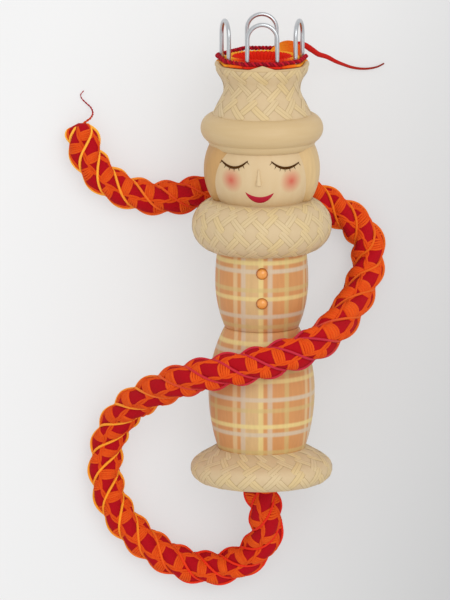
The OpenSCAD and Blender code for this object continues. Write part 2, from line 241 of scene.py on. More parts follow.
# Knitted cord
# The finished cord: a crimson knitted tube of three twisted lobes under a net of orange yarn, edged with
# thin strands that change colour along its length. It leaves the hole in the foot, loops to the left,
# crosses over the skirt, comes down on the right and runs under the neck to the end it was started from.
lie = 5.05
exit_run = 4
inside_run = 8
cord_points = [
    (1, -74.5, 18), (1.5, -80, 15), (0, -85.5, 11.5), (-4, -90, 8.5), (-10, -93, 6), (-17, -93.5, lie),
    (-24.5, -91.5, lie), (-32, -87, lie), (-38, -81.5, lie), (-42.5, -74.5, lie), (-44.5, -66.5, lie),
    (-44, -58.5, 5.5), (-41.5, -51.5, 8.5), (-36.5, -45, 15), (-30, -40, 24), (-22, -35.5, 33.5),
    (-13, -32.5, 39.5), (-3.5, -30.5, 41.5), (6, -28, 40.5), (14, -25.5, 36), (20.5, -21.5, 27.5),
    (25.5, -16.5, 16.5), (29, -10.5, 8.5), (30.5, -4.5, 5.5), (30, 1, lie), (26.5, 6, lie),
    (20.5, 10, lie), (14, 14, lie), (7, 17.5, lie), (0, 19, lie), (-7.5, 18, lie), (-14.5, 15.5, lie),
    (-22, 13.5, lie), (-30, 13, lie), (-37.5, 14.5, lie), (-44, 18, lie), (-49, 24, lie), (-52, 34.3, lie),
]
cord_spacing = 0.4
tube_step = 0.5
lobe_r = 2.65
lobe_offset = 1.8
lobes = 3
twist_pitch = 24
start_round = 1.0
end_round = 4.0
crimson = "B80E1C"
dark_crimson = "A00B18"
orange = "D8450F"
pale_orange = "E65C1A"
# A direction that no strand runs along, from which its sides are worked out
any_side = Vector((0.3, 0.5, 0.81))


def smooth_line(points, spacing, span_steps=24):
    """Points on the smooth curve through the given ones, at a spacing in millimetres, and its length."""
    ends = [2 * points[0] - points[1], *points, 2 * points[-1] - points[-2]]
    fine = []
    for a, b, c, d in zip(ends, ends[1:], ends[2:], ends[3:]):
        for step in range(span_steps):
            t = step / span_steps
            bend = (2 * a - 5 * b + 4 * c - d) * t * t + (3 * b - a - 3 * c + d) * t ** 3
            fine.append(b + ((c - a) * t + bend) / 2)
    fine.append(points[-1])
    lengths = [0]
    for a, b in zip(fine, fine[1:]):
        lengths.append(lengths[-1] + (b - a).length)
    count = round(lengths[-1] / (spacing * MM))
    line = []
    k = 0
    for step in range(count + 1):
        along = lengths[-1] * step / count
        while k < len(fine) - 2 and lengths[k + 1] < along:
            k += 1
        line.append(fine[k].lerp(fine[k + 1], (along - lengths[k]) / (lengths[k + 1] - lengths[k])))
    return line, lengths[-1]


def carried(line, side=any_side):
    """The two side directions at each point of a line, carried along it without twisting."""
    turns = []
    for i in range(len(line)):
        ahead = (line[min(i + 1, len(line) - 1)] - line[max(i - 1, 0)]).normalized()
        side = (side - ahead * side.dot(ahead)).normalized()
        turns.append((side, ahead.cross(side)))
    return turns


def marked_mesh(*names):
    """A new mesh whose points carry a number under each of the names."""
    mesh = bmesh.new()
    for name in names:
        mesh.verts.layers.float.new(name)
    return mesh


def add_grid(mesh, place, rows, sides, **marks):
    """Add a grid of faces with each point at place(s, t), s and t from 0 to 1, and mark its points."""
    layers = [(mesh.verts.layers.float[name], mark) for name, mark in marks.items()]
    for vert in bmesh.ops.create_grid(mesh, x_segments=rows, y_segments=sides, size=1)["verts"]:
        s = (vert.co.x + 1) / 2
        t = (vert.co.y + 1) / 2
        vert.co = place(s, t)
        for layer, mark in layers:
            vert[layer] = mark(s, t) if callable(mark) else mark


def rounded_end(share):
    """How full a strand is at a share of its rounded end: nothing at 0, all of it from 1 on."""
    return 1 if share >= 1 else math.sqrt(max(0, 1 - (1 - share) ** 2))


def add_tube(mesh, line, radius, sides, ends=0, **marks):
    """Add a tube along a line. Its radius in millimetres is one number, or goes by the share passed.

    Each end is rounded off over the given share of the line.
    """
    turns = carried(line)

    def place(s, t):
        i = round(s * (len(line) - 1))
        side, other = turns[i]
        angle = 2 * math.pi * t
        full = rounded_end(min(s, 1 - s) / ends) if ends else 1
        thick = radius(s) if callable(radius) else radius
        return line[i] + thick * full * MM * (math.cos(angle) * side + math.sin(angle) * other)

    add_grid(mesh, place, len(line) - 1, sides, **marks)


def close(mesh):
    """Join the seams and poles of the grids in a mesh and turn all faces outwards."""
    bmesh.ops.remove_doubles(mesh, verts=mesh.verts, dist=1e-7)
    bmesh.ops.dissolve_degenerate(mesh, edges=mesh.edges, dist=1e-8)
    bmesh.ops.recalc_face_normals(mesh, faces=mesh.faces)


start = [foot_centre + doll_up * inside_run * MM, foot_centre, foot_centre - doll_up * exit_run * MM]
free_route = start[1:] + [Vector(p) * MM for p in cord_points]
free_length = smooth_line(free_route, cord_spacing)[1]
cord_line = smooth_line(start[:1] + free_route, cord_spacing)[0]
cord_turns = carried(cord_line, doll_right)
# The cord is stretched where it climbs, so its pattern keeps its size as seen from above
cord_runs = [0]
for a, b in zip(cord_line, cord_line[1:]):
    cord_runs.append(cord_runs[-1] + (b - a).xy.length / MM)
cord_mm = cord_runs[-1]


def cord_r(along, angle):
    """Radius of the knitted tube in millimetres: round lobes that wind round it, drawn in at both ends."""
    share = (angle / (2 * math.pi) - along / twist_pitch) * lobes
    off = (share - round(share)) * 2 * math.pi / lobes
    across = lobe_offset * math.sin(off)
    full = rounded_end(min(along / start_round, (cord_mm - along) / end_round))
    return full * (lobe_offset * math.cos(off) + math.sqrt(lobe_r ** 2 - across ** 2))


def cord_step(along):
    """Which step of the cord's line lies this far along the cord."""
    return min(max(bisect_right(cord_runs, along), 1), len(cord_runs) - 1) - 1


def cord_stretch(along):
    """How many times longer the cord is at a place than it looks from above."""
    i = cord_step(along)
    return (cord_line[i + 1] - cord_line[i]).length / MM / (cord_runs[i + 1] - cord_runs[i])


def on_cord(along, angle, lift):
    """A point this far along the cord and round it, in millimetres and radians, above its surface."""
    i = cord_step(along)
    share = (along - cord_runs[i]) / (cord_runs[i + 1] - cord_runs[i])
    side, other = cord_turns[i]
    out = math.cos(angle) * side + math.sin(angle) * other
    return cord_line[i].lerp(cord_line[i + 1], share) + out * (cord_r(along, angle) + lift) * MM


def point_mark(tree, name):
    """The number that the points of a mesh carry under a name."""
    return add_node(tree, "ShaderNodeAttribute", attribute_name=name)["Fac"]


def blend(tree, share, first, second):
    """The colour at a share of the way from one to another, each a hex code or another node's output."""
    ends = [linear(colour) if isinstance(colour, str) else colour for colour in (first, second)]
    return add_node(tree, "ShaderNodeMix", {0: share, 6: ends[0], 7: ends[1]}, data_type="RGBA")[2]


def roughen(tree, shader, height, strength, depth):
    """Let an uneven shade show as fine relief, with its depth in millimetres."""
    bumps = {"Height": height, "Strength": strength, "Distance": depth * MM}
    tree.links.new(add_node(tree, "ShaderNodeBump", bumps)[0], shader.inputs["Normal"])


# The knitted tube itself
mesh = bmesh.new()
add_grid(mesh, lambda s, t: on_cord(s * cord_mm, 2 * math.pi * t, 0),
         rows=round(cord_mm / tube_step), sides=48)
close(mesh)

# Knitted wool scatters light softly and shows no gloss, only a fuzz of fine hairs
crimson_knit, tree, shader = new_material(
    "crimson_knitted_wool", Roughness=0.9, Specular_IOR_Level=0.1, Sheen_Weight=0.06,
    Sheen_Tint=linear(orange))
hairs = mottle(tree, size=0.5, detail=3.0)
set_colour(tree, shader, blend(tree, hairs, dark_crimson, crimson))
roughen(tree, shader, hairs, strength=0.5, depth=0.15)
knitted_cord = new_piece("knitted_tube", mesh, crimson_knit)

# The orange net, first the bars along the cord: pairs of strands twisted loosely together
net_row = 7.04
columns = 5
column_angle = 2 * math.pi / columns
net_trim = 0.5
net_end = cord_mm - net_trim
bar_yarn_d = 0.74
bar_half = 0.33
bar_swing = 0.12
bar_tone = 0.25
bar_spacing = 0.65
bar_steps = round((net_end - start_round) / bar_spacing)
mesh = marked_mesh("tone")
for column in range(columns):
    for ply in (0, 1):
        strand = []
        for step in range(bar_steps + 1):
            along = start_round + (net_end - start_round) * step / bar_steps
            turned_by = 2 * math.pi * (along / net_row + ply / 2)
            angle = (column + 0.5) * column_angle
            angle += bar_half * math.cos(turned_by) / max(cord_r(along, angle), 1)
            strand.append(on_cord(along, angle, bar_swing * math.sin(turned_by)))
        add_tube(mesh, strand, bar_yarn_d / 2, sides=6, ends=0.002, tone=bar_tone)
close(mesh)

# Orange wool, a little lighter or darker from strand to strand
orange_wool, tree, shader = new_material(
    "orange_wool_yarn", Roughness=0.85, Specular_IOR_Level=0.12, Sheen_Weight=0.1,
    Sheen_Tint=linear(pale_orange))
hairs = mottle(tree, size=0.35, detail=3.0)
uneven = calc(tree, "ADD", point_mark(tree, "tone"), hairs)
oranges = blend(tree, spread(tree, uneven, low=0.4, high=1.5), orange, pale_orange)
set_colour(tree, shader, oranges)
roughen(tree, shader, hairs, strength=0.4, depth=0.1)
net_bars = new_piece("orange_net_bars", mesh, orange_wool)

# Then the bundles of five strands that bow out between the bars. Each column starts two fifths of a row
# after its neighbour, as the knitting goes round in a spiral.
net_rows = int(cord_mm / net_row)
oval_yarn_d = 0.72
oval_root = 0.36
oval_spread = 0.22
oval_lift = -0.12
oval_crown = 0.14
oval_reach = 1.1
oval_steps = 8
oval_tone = 0.2
oval_tones = 0.5
most_stretch = 1.8
column_shift = 2 / columns
oval_seed = 4
tone = random.Random(oval_seed)
mesh = marked_mesh("tone")
for column in range(columns):
    for row in range(net_rows + 1):
        middle = (row + column * column_shift % 1) * net_row
        if not start_round + net_row / 2 < middle < cord_mm - net_row / 3:
            continue
        strand_r = oval_yarn_d / 2 * min(cord_stretch(middle), most_stretch)
        for beside in (-2, -1, 0, 1, 2):
            strand = []
            for step in range(oval_steps + 1):
                across = step / oval_steps - 0.5
                bow = 1 - 4 * across ** 2
                angle = (column + oval_reach * across) * column_angle
                shift = beside * (oval_root + oval_spread * bow)
                strand.append(on_cord(middle + shift, angle, oval_lift + oval_crown * bow))
            strand_tone = oval_tone + oval_tones * tone.random()
            add_tube(mesh, strand, strand_r, sides=6, ends=0.12, tone=strand_tone)
close(mesh)
net_ovals = new_piece("orange_net_bundles", mesh, orange_wool)

# The edging strands, one in each groove between the lobes and one along each flank, from lobe to lobe
edging_d = 0.8
groove_lift = 0.5
flank_lift = 0.3
edging_spacing = 0.6
edging_steps = round((net_end - start_round) / edging_spacing)


def groove(along, lobe):
    """The angle of the groove beside a lobe, this far along the cord."""
    return 2 * math.pi * (along / twist_pitch + (lobe + 0.5) / lobes)


def flank(along, side_sign):
    """The angle at which the cord, as it lies, faces straight to its one or its other side."""
    side, other = cord_turns[cord_step(along)]
    out = side_sign * side.cross(other).cross(towards_camera)
    return math.atan2(out.dot(other), out.dot(side))


edging_runs = [(groove, lobe, groove_lift) for lobe in range(lobes)]
edging_runs += [(flank, side_sign, flank_lift) for side_sign in (-1, 1)]
mesh = marked_mesh("along")
for angle_at, which, lift in edging_runs:
    strand = []
    for step in range(edging_steps + 1):
        along = start_round + (net_end - start_round) * step / edging_steps
        strand.append(on_cord(along, angle_at(along, which), lift))
    add_tube(mesh, strand, edging_d / 2, sides=8, ends=0.003, along=lambda s, t: s)
close(mesh)

# Smooth yarn, dyed in long runs from the foot on: red, gold, magenta red, orange, red and gold again
edging_colours = [
    (0.0, "E0200F"), (0.17, "E8330F"), (0.21, "EE6A14"), (0.25, "F79A22"), (0.36, "FBA12C"),
    (0.39, "F28A26"), (0.42, "E2561E"), (0.45, "C92A35"), (0.56, "BE2840"), (0.585, "DE5A14"),
    (0.68, "E0660F"), (0.74, "F07E16"), (0.865, "DD3A12"), (0.895, "EC6A1C"), (0.92, "F79A2C"),
    (0.945, "FDAE35"), (1.0, "FFB83C"),
]
edging_yarn, tree, shader = new_material("dyed_smooth_yarn", Roughness=0.7, Specular_IOR_Level=0.2)
dyes = ramp_of(tree, point_mark(tree, "along"), edging_colours)
set_colour(tree, shader, dyes)
edging = new_piece("edging_strands", mesh, edging_yarn)

# Cast-on end
# The thin tapered end of the yarn that the cord was started with. It comes out of the drawn-in end of
# the cord and lies in a curl on the table.
cast_on_d = 0.8
tip_d = 0.3
cast_on_spacing = 0.15
cast_on_points = [
    (-52, 33, 5.2), (-51, 33.9, 5.6), (-49.6, 34.9, 5.3), (-48.4, 35.8, 4.3), (-47.9, 37, 2.7),
    (-48.5, 38.4, 1.2), (-49.8, 39.6, 0.6), (-51, 40.8, 0.5), (-51.4, 42, 0.5), (-50.5, 43.2, 0.4),
]
# The plies of a twisted yarn: pitch, radius and distance from its middle as shares of its diameter,
# and how much darker the one is painted than the other, a painted shade that shows the twist
ply_pitch = 2.0
ply_r = 0.26
ply_out = 0.25
ply_shade = 0.6
yarn_red = "BE1426"
yarn_shaded_ply = "7A0A1C"


def add_two_ply(mesh, line, diameter, along):
    """Add two strands twisted round a line, whose diameter in all is given by the share passed."""
    turns = carried(line)
    spacing = (line[1] - line[0]).length / MM
    for ply in (0, 1):
        strand = []
        for i, point in enumerate(line):
            angle = 2 * math.pi * (i * spacing / ply_pitch + ply / 2)
            side, other = turns[i]
            out = math.cos(angle) * side + math.sin(angle) * other
            strand.append(point + out * diameter(i / (len(line) - 1)) * MM * ply_out)
        add_tube(mesh, strand, lambda s: ply_r * diameter(s), sides=6, ends=0.01, along=along, ply=ply)


mesh = marked_mesh("along", "ply")
cast_on_line = smooth_line([Vector(p) * MM for p in cast_on_points], cast_on_spacing)[0]
add_two_ply(mesh, cast_on_line, lambda s: cast_on_d + (tip_d - cast_on_d) * s, lambda s, t: s)
close(mesh)

# Twisted wool: orange where it leaves the knitting, and then red, with one ply painted darker as painted
# shade of the twist
end_wool, tree, shader = new_material("two_ply_twisted_wool", Roughness=0.85, Specular_IOR_Level=0.15)
# Painted shade: one ply is darker, so that the twist shows
uneven = calc(tree, "MULTIPLY_ADD", point_mark(tree, "ply"), ply_shade, mottle(tree, size=0.3))
plies = blend(tree, spread(tree, uneven, low=0.3, high=1.2), yarn_shaded_ply, yarn_red)
faded = blend(tree, spread(tree, point_mark(tree, "along"), high=0.5), pale_orange, plies)
set_colour(tree, shader, faded)
cast_on_end = new_piece("cast_on_end", mesh, end_wool)

for piece in (knitted_cord, net_bars, net_ovals, edging, cast_on_end):
    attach(piece, "root")
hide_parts("knitted_cord")
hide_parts("cast_on_tail")

# Working yarn and its loose end
# The red wool that the next row is made from: two plies twisted together, laid once round the outside
# of all the hooks, with a loose end that runs off the back hook and tapers to a hair on the table.
peak_h = 1.7
rim_z = reach("hat_crown")[2] - peak_h
hook_angles = {"front": 0, "back": 180, "left": -76, "right": 76}
hook_circle = 10.6
hook_span = 8.3
wire_d = 1.2
leg_angle = math.degrees(math.atan2(hook_span / 2, hook_circle))
leg_circle = math.hypot(hook_circle, hook_span / 2)
yarn_d = 1.1
yarn_gap = 0.05
yarn_rise = 1.2
yarn_spacing = 0.2
stitch_d = 0.8
sharpest_turn = math.radians(26)
yarn_ring_r = leg_circle + ((wire_d + yarn_d) / 2 + yarn_gap) / math.cos(sharpest_turn)
yarn_low = rim_z + stitch_d + yarn_d / 2 + 2 * yarn_gap
# Places on the straight run of the yarn from one leg of a hook to the next, so that it bends at the legs
run_shares = (0.08, 0.36, 0.64, 0.92)
rope_d = 1.35
tail_d = 1.7
tail_tip_d = 0.45
tail_full = 0.25
tail_thinning = 0.85
tail_points = [
    (8, 57.5, 17), (11.5, 57.5, 16.2), (14, 56, 14.8), (16, 54.5, 12.6), (18.5, 53.5, 9.8), (21, 52, 6.8),
    (23, 51, 4), (25.5, 50, 2), (28, 49.5, 1), (30.5, 49.5, 0.8), (33, 50, 0.6), (35, 51, 0.5),
]


def round_doll(angle, radius, z):
    """A point at an angle in degrees from the front of the doll, with its radius and height."""
    return on_doll(radius * math.sin(math.radians(angle)), -radius * math.cos(math.radians(angle)), z)


turn_points = []
for place, leg in itertools.product(("right", "front", "left", "back"), (1, -1)):
    angle = hook_angles[place] + leg * leg_angle - (360 if place == "back" else 0)
    rise = yarn_rise * (1 - math.cos(math.radians(angle))) / 2
    turn_points.append(round_doll(angle, yarn_ring_r, yarn_low + rise))
wrap = []
for a, b in zip(turn_points, turn_points[1:]):
    wrap += [a.lerp(b, share) for share in run_shares]
wrap_line = smooth_line(wrap, yarn_spacing)[0]
mesh = marked_mesh("along", "ply")
add_two_ply(mesh, wrap_line, lambda s: rope_d, 1.0)
close(mesh)
working_yarn = new_piece("working_yarn_round_hooks", mesh, end_wool)
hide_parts("working_yarn")


def tail_thickness(s):
    """The loose end swells where its twist has opened, and then thins out to its tip."""
    if s < tail_full:
        return yarn_d + (tail_d - yarn_d) * s / tail_full
    return tail_d + (tail_tip_d - tail_d) * ((s - tail_full) / (1 - tail_full)) ** tail_thinning


yarn_off = turn_points[-1]
tail_line, tail_length = smooth_line([yarn_off] + [Vector(p) * MM for p in tail_points], yarn_spacing)
mesh = marked_mesh("along")
add_tube(mesh, tail_line, lambda s: tail_thickness(s) / 2, sides=12, ends=0.005, along=lambda s, t: s)
close(mesh)

# Smoother red wool that dulls to brown at its thin tip
tail_red = "C21406"
tail_brown = "8A2A18"
tail_wool, tree, shader = new_material("red_wool_end", Roughness=0.8, Specular_IOR_Level=0.2)
dulled = blend(tree, spread(tree, point_mark(tree, "along"), low=0.55), tail_red, tail_brown)
streaked = tint(tree, dulled, spread(tree, mottle(tree, size=0.4), to_low=0.75, to_high=1.1))
set_colour(tree, shader, streaked)
yarn_tail = new_piece("working_yarn_end", mesh, tail_wool)
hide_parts("yarn_tail")
for piece in (working_yarn, yarn_tail):
    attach(piece, "root")

# Core tube
# The straight card tube inside, on which all the turned pieces are glued. Only its lower end shows,
# round the cord in the hole of the foot. Card is matt and slightly mottled.
card_brown = "A98B66"
card_pale = "C2A680"


def mottled_material(name, first, second, size, detail=2.0, **sockets):
    """A material mottled in two hex colours, with spots of about this size in millimetres."""
    made, tree, shader = new_material(name, **sockets)
    set_colour(tree, shader, blend(tree, mottle(tree, size, detail), first, second))
    return made


def give(node_name, material):
    """Put a material on a CAD piece that stays as it is."""
    data = frame["nodes"][node_name].data
    data.materials.clear()
    data.materials.append(material)


card = mottled_material("wound_card", card_brown, card_pale, size=1.2, detail=4.0,
                        Roughness=0.9, Specular_IOR_Level=0.25)
give("core_tube", card)

# Base
# The foot: a turned disc with a rounded rim and a sloping top. It is covered with split straw in two
# shades, woven at 45 degrees over a darker ground and varnished. Its underside is plain.
core_hole_r = 7.6
base_r, base_foot, base_top = reach("base")
base_rim_r = 3.4
base_shoulder = (12.8, base_top)
base_repeats = 17
base_straw_from = -70
# Sizes of the strips, as shares of the distance at which the weave repeats
strip_wide = 0.32
strip_long = 0.92
strip_shift = 0.094
strip_step = 0.287
pair_rise = 0.88
# Thickness of the strips and height of their middles above the ground, in millimetres
strip_thick = 0.05
strip_lift = 0.07
# How short the rounding of a strip's ends is, and how near to its ends it dips to the ground
strip_end = 0.06
strip_dip = 4
# Satin varnish, as on the straw and on the doll's painted and plain wood
satin = {"Roughness": 0.5, "Specular_IOR_Level": 0.35}
straw_gold = "D5BB88"
straw_pale = "D1BA92"
straw_beige = "CBB089"
straw_line = "9C7D50"


def arc(centre, radius, start, end, steps=24):
    """Points on an arc of an outline, with its angles in degrees from straight out towards the top."""
    turns = [math.radians(start + (end - start) * i / steps) for i in range(steps + 1)]
    return [(centre[0] + radius * math.cos(a), centre[1] + radius * math.sin(a)) for a in turns]


def touch(point, centre, radius, side):
    """Angle in degrees at which a line from a point touches a circle, on the one or the other side."""
    across = point[0] - centre[0]
    up = point[1] - centre[1]
    return math.degrees(math.atan2(up, across) + side * math.acos(radius / math.hypot(across, up)))


def turned(outline, steps=144):
    """Turn a closed outline of radius and height, in millimetres, round the doll's axis."""
    def place(s, t):
        r, z = outline[round(s * len(outline)) % len(outline)]
        return round_doll(360 * t, r, z)

    mesh = bmesh.new()
    add_grid(mesh, place, len(outline), steps)
    close(mesh)
    return mesh


def straw_strips(outline, middle_r, repeats, seed):
    """Split straw on a turned outline: rows of pairs of strips, which lean one way and then the other."""
    ups = [0]
    for (r0, z0), (r1, z1) in zip(outline, outline[1:]):
        ups.append(ups[-1] + math.hypot(r1 - r0, z1 - z0) * 2 * middle_r / (r0 + r1))
    repeat = 2 * math.pi * middle_r / repeats

    def surface(around, up, lift):
        up = min(max(up, 0), ups[-1])
        k = min(bisect_right(ups, up), len(ups) - 1) - 1
        share = (up - ups[k]) / (ups[k + 1] - ups[k])
        (r0, z0), (r1, z1) = outline[k:k + 2]
        long = math.hypot(r1 - r0, z1 - z0)
        r = r0 + (r1 - r0) * share + lift * (z1 - z0) / long
        z = z0 + (z1 - z0) * share - lift * (r1 - r0) / long
        return round_doll(math.degrees(around / middle_r), r, z)

    mesh = marked_mesh("tone", "across")
    tone = random.Random(seed)
    rows = math.ceil(ups[-1] / (pair_rise * repeat)) + 1
    for row, column, step in itertools.product(range(rows), range(repeats), (-1, 1)):
        lean = 1 if row % 2 else -1
        middle_around = (column + row % 2 / 2 + lean * step * strip_shift) * repeat
        middle_up = (row * pair_rise + step * strip_step) * repeat
        if not 0 < middle_up < ups[-1]:
            continue

        def strip_point(s, t):
            """Round a strip from end to end, with more of its few rows near its square ends."""
            angle = 2 * math.pi * t
            end = abs(math.cos(math.pi * s))
            along = -math.cos(math.pi * s) / 2 * strip_long * repeat
            across = strip_wide * repeat / 2 * math.cos(angle) * rounded_end((1 - end) / strip_end)
            around = middle_around + (lean * along + across) / math.sqrt(2)
            up = middle_up + (along - lean * across) / math.sqrt(2)
            return surface(around, up, strip_lift * (1 - end ** strip_dip) + strip_thick * math.sin(angle))

        add_grid(mesh, strip_point, rows=6, sides=8, tone=tone.random(),
                 across=lambda s, t: abs(math.cos(2 * math.pi * t)))
    close(mesh)
    return mesh


# The ground under the strips: varnished wood, a little darker in its pores
straw_wood = mottled_material("varnished_straw_ground", straw_beige, straw_pale, size=1.5, detail=3.0,
                              Roughness=0.55, Specular_IOR_Level=0.35)

# Split straw: gold, a little paler from strip to strip, with a dark line along its edges and its middle
straw, tree, shader = new_material("split_wheat_straw", **satin)
uneven = calc(tree, "ADD", mottle(tree, size=2.5, detail=3.0), point_mark(tree, "tone"))
straws = blend(tree, spread(tree, uneven, low=0.4, high=1.6), straw_gold, straw_pale)
across = point_mark(tree, "across")
edge_lines = spread(tree, across, low=0.82, to_high=0.9)
middle_line = spread(tree, across, low=0.14, high=0.0, to_high=0.45)
lined = blend(tree, calc(tree, "MAXIMUM", edge_lines, middle_line), straws, straw_line)
set_colour(tree, shader, lined)

rim_centre = (base_r - base_rim_r, base_foot + base_rim_r)
rim_top = touch(base_shoulder, rim_centre, base_rim_r, -1)
slope = arc(rim_centre, base_rim_r, base_straw_from, rim_top) + [base_shoulder]
outline = [(core_hole_r, base_foot), *arc(rim_centre, base_rim_r, -90, rim_top), base_shoulder,
           (core_hole_r, base_top)]
base = new_piece("turned_base", turned(outline), straw_wood)
base_straw = new_piece("base_straw_strips", straw_strips(slope, base_r, base_repeats, seed=1), straw)
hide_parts("base")
for piece in (base, base_straw):
    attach(piece, "root")

# Skirt and torso
# Two turned barrels that meet at the waist, painted with a soft plaid on an orange tan ground. The
# upright stripes run straight from foot to collar, with the joint of the pattern on the back.
waist_r = 10.4
skirt_foot_r = 12.4
skirt_belly = 16.2
torso_top_r = 12.5
torso_belly = 13.2
plaid_ground = "CB8E56"
plaid_band = "D2BC8A"
plaid_cream = "D8B98A"
plaid_lilac = "CDB99E"
plaid_yellow = "E0CA86"
plaid_green = "C9B072"
stripe_w = 1.4
level_w = 1.2
stripe_soft = 0.3
upright_repeat = 22.8
level_repeat = 23.2
# Each stripe: its middle, its width, its colour and how much of the ground it covers
upright_stripes = [
    (-2.7, 4.4, plaid_band, 0.55), (-7.95, stripe_w, plaid_cream, 0.75), (-5.4, stripe_w, plaid_lilac, 0.8),
    (-0.3, stripe_w, plaid_yellow, 0.8), (2.28, stripe_w, plaid_lilac, 0.75),
    (7.3, stripe_w, plaid_green, 0.65),
]
level_stripes = [
    (64.5, level_w, plaid_yellow, 0.8), (62.1, level_w, plaid_lilac, 0.85),
    (56.8, level_w, plaid_green, 0.65), (54.3, level_w, plaid_yellow, 0.7),
    (49.1, level_w, plaid_lilac, 0.85), (46.0, level_w, plaid_green, 0.6),
]


def barrel(foot_r, wide_r, top_r, foot_z, belly, top_z):
    """Outline of a barrel: one arc from its foot to its widest place and another from there to its top."""
    wide_z = foot_z + belly
    sides = []
    for r, height in ((foot_r, belly), (top_r, top_z - wide_z)):
        swell = (height ** 2 + (wide_r - r) ** 2) / (2 * (wide_r - r))
        sides.append((swell, math.degrees(math.asin(height / swell))))
    (low_swell, low_sweep), (high_swell, high_sweep) = sides
    low = arc((wide_r - low_swell, wide_z), low_swell, -low_sweep, 0)
    high = arc((wide_r - high_swell, wide_z), high_swell, 0, high_sweep)
    return low + high[1:]


def doll_point(tree):
    """The place of a shaded point on the standing doll, in millimetres."""
    place = add_node(tree, "ShaderNodeTexCoord")["Object"]
    return add_node(tree, "ShaderNodeMapping", {
        "Vector": place, "Location": foot_centre, "Rotation": laid.to_euler(), "Scale": (MM, MM, MM),
    }, vector_type="TEXTURE")[0]


def grain_on_doll(tree, stood, across, along, detail=4.0):
    """Grain of wood or wire, by how fine it is across the standing doll and along it."""
    drawn = add_node(tree, "ShaderNodeMapping", {"Vector": stood, "Scale": (across, across, along)})
    return add_node(tree, "ShaderNodeTexNoise", {"Vector": drawn[0], "Scale": 1.0, "Detail": detail})["Fac"]


# Thin matt paint under satin varnish, with the wood's grain faintly showing along the doll
plaid_paint, tree, shader = new_material("plaid_paint_on_turned_wood", **satin)
stood = doll_point(tree)
parts = add_node(tree, "ShaderNodeSeparateXYZ", {0: stood})
bearing = calc(tree, "ARCTAN2", parts["X"], calc(tree, "MULTIPLY", parts["Y"], -1.0))
level = calc_vectors(tree, "MULTIPLY", stood, (1, 1, 0))[0]
radius = calc_vectors(tree, "LENGTH", level)["Value"]
around = calc(tree, "MULTIPLY", bearing, radius)
grain = grain_on_doll(tree, stood, across=1.2, along=0.1)
paint = linear(plaid_ground)
striped = [(around, upright_repeat, stripe) for stripe in upright_stripes]
striped += [(parts["Z"], level_repeat, stripe) for stripe in level_stripes]
for measured, repeat, (middle, wide, code, cover) in striped:
    off = calc(tree, "SUBTRACT", measured, middle)
    away = calc(tree, "ABSOLUTE", calc(tree, "WRAP", off, repeat / 2, -repeat / 2))
    inside = spread(tree, away, wide / 2 + stripe_soft, wide / 2 - stripe_soft, to_high=cover, smooth=True)
    paint = blend(tree, inside, paint, code)
toned = tint(tree, paint, spread(tree, grain, to_low=0.88, to_high=1.1))
set_colour(tree, shader, toned)
roughen(tree, shader, grain, strength=0.08, depth=0.2)

skirt_r, skirt_foot, skirt_top = reach("skirt")
torso_r, torso_foot, torso_top = reach("torso")
skirt_side = barrel(skirt_foot_r, skirt_r, waist_r, skirt_foot, skirt_belly, skirt_top)
torso_side = barrel(waist_r, torso_r, torso_top_r, torso_foot, torso_belly, torso_top)
for node_name, side in (("skirt", skirt_side), ("torso", torso_side)):
    outline = [(core_hole_r, side[0][1]), *side, (core_hole_r, side[-1][1])]
    piece = new_piece("painted_" + node_name, turned(outline), plaid_paint)
    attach(piece, "root")
    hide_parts(node_name)

# Buttons
# Two small turned wooden beads on pegs, set in flat seats on the front of the torso. Their orange
# lacquer is glossy, with a painted shade that darkens it towards the edge.
button_r = 1.65
button_edge = 0.55
button_dome = 0.95
button_dome_r = (button_r ** 2 + button_dome ** 2) / (2 * button_dome)
button_heights = {"button_upper": 61.6, "button_lower": 53.1}
button_seat = 0.4
bead_light = "EFA44E"
bead_orange = "DD8A34"
bead_edge_shade = "A85A1C"

bead_lacquer, tree, shader = new_material("orange_bead_lacquer", Roughness=0.25, Coat_Weight=0.4)
# Painted shade: the lacquer darkens towards the bead's edge
painted_edge_shade = spread(tree, point_mark(tree, "edge"), low=0.62, high=0.98, smooth=True)
oranges = blend(tree, mottle(tree, size=0.8), bead_orange, bead_light)
set_colour(tree, shader, blend(tree, painted_edge_shade, oranges, bead_edge_shade))

for name, z in button_heights.items():
    front_r = min((abs(side_z - z), r) for r, side_z in torso_side)[1]

    def bead_point(s, t):
        """From the middle of the bead's back, over its edge, to the middle of its dome."""
        out = button_r * min(1, 3 * s, 3 * (1 - s))
        high = button_edge * min(1, max(0, 3 * s - 1))
        if s > 2 / 3:
            high += button_dome - button_dome_r + math.sqrt(button_dome_r ** 2 - out ** 2)
        angle = 2 * math.pi * t
        return on_doll(out * math.cos(angle), button_seat - front_r - high, z + out * math.sin(angle))

    mesh = marked_mesh("edge")
    add_grid(mesh, bead_point, rows=30, sides=40, edge=lambda s, t: min(1, 3 * (1 - s)))
    close(mesh)
    piece = new_piece(name + "_bead", mesh, bead_lacquer)
    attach(piece, "root")
    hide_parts(name)

# Collar
# A fat turned ring between torso and head, rounded all the way from its foot to its top. It is covered
# with the same woven straw as the base.
collar_r, collar_foot, collar_top = reach("collar")
collar_round = 7.4
collar_repeats = 19
collar_centre = (collar_r - collar_round, (collar_foot + collar_top) / 2)
collar_sweep = math.degrees(math.asin((collar_top - collar_foot) / 2 / collar_round))
collar_side = arc(collar_centre, collar_round, -collar_sweep, collar_sweep, steps=48)
outline = [(core_hole_r, collar_foot), *collar_side, (core_hole_r, collar_top)]
collar = new_piece("turned_collar", turned(outline), straw_wood)
strips = straw_strips(collar_side, collar_r, collar_repeats, seed=2)
collar_straw = new_piece("collar_straw_strips", strips, straw)
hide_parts("collar")
for piece in (collar, collar_straw):
    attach(piece, "root")

